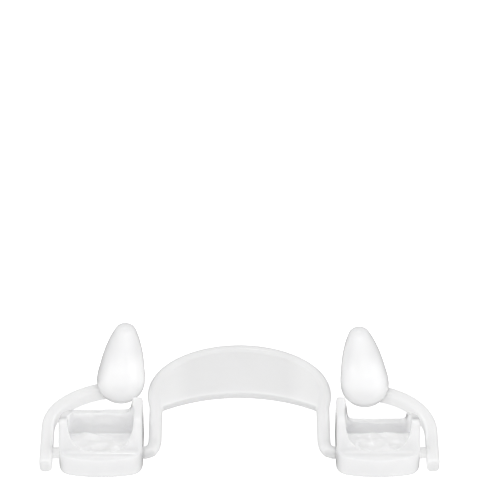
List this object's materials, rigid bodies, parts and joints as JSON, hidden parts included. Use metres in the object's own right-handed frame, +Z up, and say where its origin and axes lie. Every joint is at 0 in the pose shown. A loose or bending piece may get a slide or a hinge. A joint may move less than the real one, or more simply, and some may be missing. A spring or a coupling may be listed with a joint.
{
  "type": "vampire fang denture",
  "caption": "Tongue-operated vampire fangs: a crescent tongue plate with a raised rim on round legs, open molar trays that turn on the axle, and bent arms that carry tear-drop fangs.",
  "frame": {"origin": "middle of the footprint, on the surface that the denture rests on", "axes": "+X runs from side to side along the axle, towards the right-hand tray in the picture; +Y runs from the trays to the front edge of the tongue plate; +Z is up, out of the open trays"},
  "size_m": [0.0642, 0.0286, 0.0164],
  "materials": {
    "frame_plastic": "glossy moulded milky white plastic",
    "tray_plastic": "glossy moulded milky white plastic with a rippled inside",
    "tooth_plastic": "polished opaque white plastic"
  },
  "bodies": {
    "bow": {"tongue_bow": "frame_plastic", "left_arm": "frame_plastic", "right_arm": "frame_plastic", "left_fang": "tooth_plastic", "right_fang": "tooth_plastic"},
    "left_tray": {"left_tray": "tray_plastic"},
    "right_tray": {"right_tray": "tray_plastic"}
  },
  "joints": [
    {"name": "left_tray_turn", "type": "hinge", "parent": "bow", "child": "left_tray", "pos_m": [-0.02235, -0.0105, 0.0021], "axis": [1, 0, 0], "continuous": true},
    {"name": "right_tray_turn", "type": "hinge", "parent": "bow", "child": "right_tray", "pos_m": [0.02235, -0.0105, 0.0021], "axis": [1, 0, 0], "continuous": true}
  ]
}
